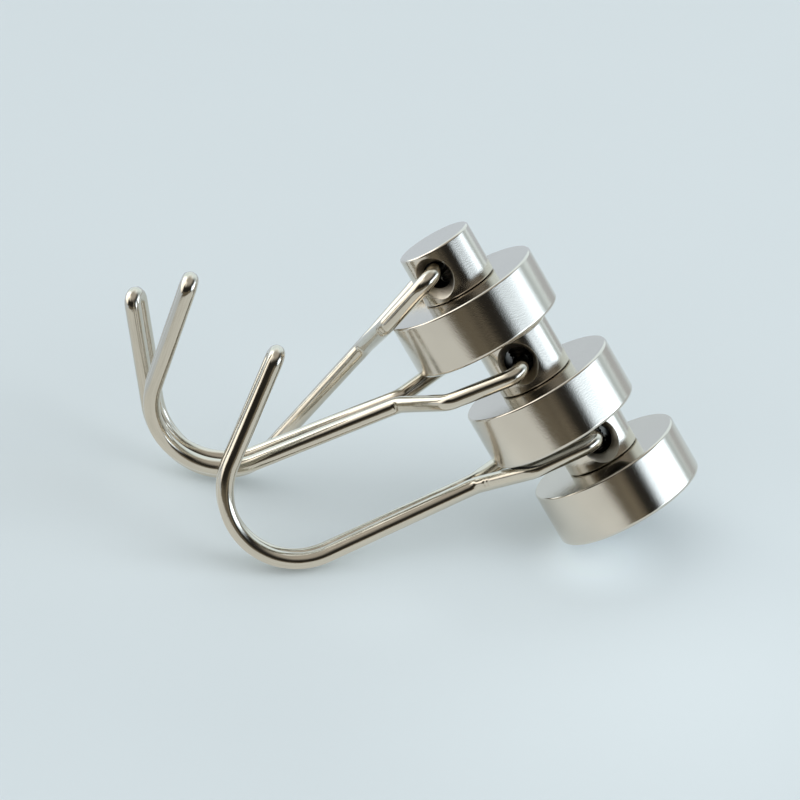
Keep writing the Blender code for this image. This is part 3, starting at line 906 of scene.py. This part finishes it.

# Painted reflections: emission on the table that only glossy rays see. First a pale stretch painted
# in front of the object, then colours where the metal sees the table end. Heading over X and Y,
# start and full reach in metres, share and colour
PAINTED_TABLE_REFLECTIONS = (
    ((-0.5, -1.0, 0.0), -0.01, 0.03, 0.7, "e8e7e1"),
    ((1.0, 0.3, 0.0), 0.06, 0.14, 1.0, "c3c8cc"),
    ((-0.5, -1.0, 0.0), 0.14, 0.25, 1.0, "6c6557"),
    ((-0.8, 1.0, 0.0), 0.05, 0.12, 1.0, "d6e0ea"),
)

# Pools of light painted on the table as emission, standing in for light that the bright metal
# throws on it: place and reach in millimetres, strength
PAINTED_TABLE_GLOWS = (
    (24.5, -11.0, 11.0, 0.26),
    (30.0, -30.0, 55.0, 0.12),
    (-12.0, 2.0, 50.0, 0.10),
    (-30.0, 7.0, 14.0, 0.08),
    (14.0, -13.0, 14.0, 0.06),
    (-3.0, -19.0, 16.0, 0.06),
)


def studio_world(colours):
    """Soft studio round the object: pale to the camera, panels and a dark room to the metal."""
    world = bpy.data.worlds.new("soft_studio")
    world.use_nodes = True
    tree = world.node_tree
    tree.nodes.clear()
    axes = add_node(tree, "SeparateXYZ", {}, (add_node(tree, "TexCoord"),))
    backward = add_node(tree, "Math", TIMES, (axes.outputs["Y"], -1.0))
    azimuth = add_node(tree, "Math", {"operation": "ARCTAN2"}, (axes.outputs["X"], backward))
    azimuth = add_node(tree, "Math", {"operation": "DEGREES"}, (azimuth,))
    elevation = add_node(tree, "Math", {"operation": "ARCSINE"}, (axes.outputs["Z"],))
    elevation = add_node(tree, "Math", {"operation": "DEGREES"}, (elevation,))
    total = (0.0, 0.0, 0.0)
    for name, (left, right), (low, high), (side_soft, rise_soft), colour, strength in SURROUNDINGS:
        turned = azimuth
        if right and right > 180:
            turned = add_node(tree, "Math", {"operation": "WRAP"}, (azimuth, 360.0, 0.0))
        if left and left < -180:
            turned = add_node(tree, "Math", {"operation": "WRAP"}, (azimuth, 0.0, -360.0))
        inside = 1.0
        for value, edge, soft, before, after in ((turned, left, side_soft, 0.0, 1.0),
                                                 (turned, right, side_soft, 1.0, 0.0),
                                                 (elevation, low, rise_soft, 0.0, 1.0),
                                                 (elevation, high, rise_soft, 1.0, 0.0)):
            if edge is not None:
                part = add_node(tree, "MapRange", SMOOTH,
                                (value, edge - soft, edge + soft, before, after))
                inside = add_node(tree, "Math", TIMES, (inside, part))
        tinted = add_node(tree, "VectorMath", {"operation": "SCALE", "label": name},
                          {"Vector": tuple(c * strength for c in linear(colour)),
                           "Scale": inside})
        total = add_node(tree, "VectorMath", PLUS, (total, tinted))
    lit = add_node(tree, "Background", {}, {"Color": total})
    seen = add_node(tree, "Background", {}, {"Color": opaque(colours.backdrop)})
    even = add_node(tree, "Background", {}, (opaque((1.0, 1.0, 1.0)), EVEN_LIGHT))
    rays = add_node(tree, "LightPath")
    soft = add_node(tree, "MixShader", {}, (rays.outputs["Is Diffuse Ray"], lit, even))
    chosen = add_node(tree, "MixShader", {}, (rays.outputs["Is Camera Ray"], soft, seen))
    add_node(tree, "OutputWorld", {}, {"Surface": chosen})
    bpy.context.scene.world = world


def floor_material(colours):
    """Matt laminate table: pale, very faintly mottled, with pools of light painted on it round the
    object. Glossy rays see painted reflections on it: the table ending all round, and a pale
    stretch in front of the object.
    """
    material, tree, shader = new_material("matt_pale_laminate")
    place = add_node(tree, "TexCoord").outputs["Object"]
    mottle = add_node(tree, "TexNoise", {}, pattern(place, 30.0))
    colour = add_node(tree, "Mix", RGBA, {0: mottle, COLOUR_A: opaque(colours.floor, 0.985),
                                          COLOUR_B: opaque(colours.floor)})
    tree.links.new(colour.outputs[COLOUR_OUT], shader.inputs["Base Color"])
    shader.inputs["Roughness"].default_value = 0.75
    rays = add_node(tree, "LightPath")
    chosen = shader
    # Painted reflections: glossy rays see these emission colours in place of the lit table
    for heading, start, stop, share, painted_reflection_colour in PAINTED_TABLE_REFLECTIONS:
        far = add_node(tree, "VectorMath", {"operation": "DOT_PRODUCT"}, (place, heading))
        beyond = add_node(tree, "MapRange", SMOOTH,
                          (far.outputs["Value"], start, stop, 0.0, share))
        painted_reflection_share = add_node(tree, "Math", TIMES, (beyond, rays.outputs["Is Glossy Ray"]))
        seen = add_node(tree, "Emission", {}, (opaque(linear(painted_reflection_colour)), 1.0))
        chosen = add_node(tree, "MixShader", {}, (painted_reflection_share, chosen, seen))
    # Painted pools of light, added to the table as emission
    painted_glow = 0.0
    for place_x, place_y, reach, strength in PAINTED_TABLE_GLOWS:
        away = add_node(tree, "VectorMath", {"operation": "DISTANCE"},
                        (place, (place_x * MM, place_y * MM, 0.0)))
        part = add_node(tree, "MapRange", SMOOTH,
                        (away.outputs["Value"], 0.0, reach * MM, strength, 0.0))
        painted_glow = add_node(tree, "Math", PLUS, (painted_glow, part))
    painted_light = add_node(tree, "Emission", {}, (opaque(colours.floor), painted_glow))
    both = add_node(tree, "AddShader", {}, (chosen, painted_light))
    output = next(node for node in tree.nodes if node.type == "OUTPUT_MATERIAL")
    tree.links.new(both.outputs[0], output.inputs["Surface"])
    return material


def add_floor(colours):
    """A wide table top, far larger than the view."""
    reach = 4.0
    corners = [(x * reach, y * reach, 0) for x, y in ((-1, -1), (1, -1), (1, 1), (-1, 1))]
    mesh = bpy.data.meshes.new("table_top")
    mesh.from_pydata(corners, [], [(0, 1, 2, 3)])
    mesh.materials.append(floor_material(colours))
    table = bpy.data.objects.new("table_top", mesh)
    bpy.context.scene.collection.objects.link(table)


# Side panel: place and size in metres, and power in watts
PANEL_PLACE = (0.80, -0.36, 0.66)
PANEL_SIZE = 0.7
PANEL_POWER = 3.1

# The camera as it was fitted to the photograph, for a frame of 800 pixels
CAMERA_PLACE = Vector((-0.001112, -0.394133, 0.26324))
CAMERA_DOWN_DEGREES = 32.0
CAMERA_FOCAL_PIXELS = 3626.4
FRAME_PIXELS = 800
SENSOR_WIDTH = 36.0


def add_side_panel():
    """A soft panel that lights the table and stays out of the reflections."""
    lamp = bpy.data.lights.new("side_panel", "AREA")
    lamp.shape = "RECTANGLE"
    lamp.size = lamp.size_y = PANEL_SIZE
    lamp.energy = PANEL_POWER
    panel = bpy.data.objects.new("side_panel", lamp)
    panel.location = PANEL_PLACE
    panel.rotation_euler = Vector(PANEL_PLACE).to_track_quat("Z", "Y").to_euler()
    panel.visible_glossy = False
    panel.visible_camera = False
    bpy.context.scene.collection.objects.link(panel)


def add_camera():
    """The camera at the photograph's angle."""
    camera = bpy.data.cameras.new("front_camera")
    camera.sensor_width = SENSOR_WIDTH
    camera.lens = CAMERA_FOCAL_PIXELS / FRAME_PIXELS * SENSOR_WIDTH
    camera.clip_start = 0.01
    camera.clip_end = 20.0
    holder = bpy.data.objects.new("front_camera", camera)
    holder.location = CAMERA_PLACE
    holder.rotation_euler = Euler((math.radians(90 - CAMERA_DOWN_DEGREES), 0, 0))
    bpy.context.scene.collection.objects.link(holder)
    bpy.context.scene.camera = holder


class HOOKS_OT_stage(bpy.types.Operator):
    """Set the pale table, the soft studio light and the camera"""

    bl_idname = "hooks.stage"
    bl_label = "Stage"

    def execute(self, context):
        colours = context.scene.hook_colours
        add_floor(colours)
        studio_world(colours)
        add_side_panel()
        add_camera()
        context.scene.view_settings.view_transform = "Standard"
        return {"FINISHED"}


class HOOKS_PT_panel(bpy.types.Panel):
    """Sizes, colours and building steps of the hooks"""

    bl_label = "Magnetic Hooks"
    bl_idname = "HOOKS_PT_panel"
    bl_space_type = "VIEW_3D"
    bl_region_type = "UI"
    bl_category = "Hooks"

    def draw(self, context):
        for group in (context.scene.hook_sizes, context.scene.hook_colours):
            box = self.layout.box()
            for name in group.__annotations__:
                box.prop(group, name)
        for step in STEPS:
            self.layout.operator(step.bl_idname)


STEPS = (HOOKS_OT_stage, HOOKS_OT_pots, HOOKS_OT_pot_insides, HOOKS_OT_heads, HOOKS_OT_wires)
CLASSES = (HookSizes, HookColours, *STEPS, HOOKS_PT_panel)


def register():
    """Register the classes and hang the settings on the scene."""
    for item in CLASSES:
        bpy.utils.register_class(item)
    bpy.types.Scene.hook_sizes = bpy.props.PointerProperty(type=HookSizes)
    bpy.types.Scene.hook_colours = bpy.props.PointerProperty(type=HookColours)


def unregister():
    """Take the settings and the classes away again."""
    del bpy.types.Scene.hook_colours
    del bpy.types.Scene.hook_sizes
    for item in reversed(CLASSES):
        bpy.utils.unregister_class(item)


def main():
    """Register the add-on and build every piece."""
    register()
    bpy.ops.hooks.stage()
    bpy.ops.hooks.pots()
    bpy.ops.hooks.pot_insides()
    bpy.ops.hooks.heads()
    bpy.ops.hooks.wires()


if __name__ == "__main__":
    main()
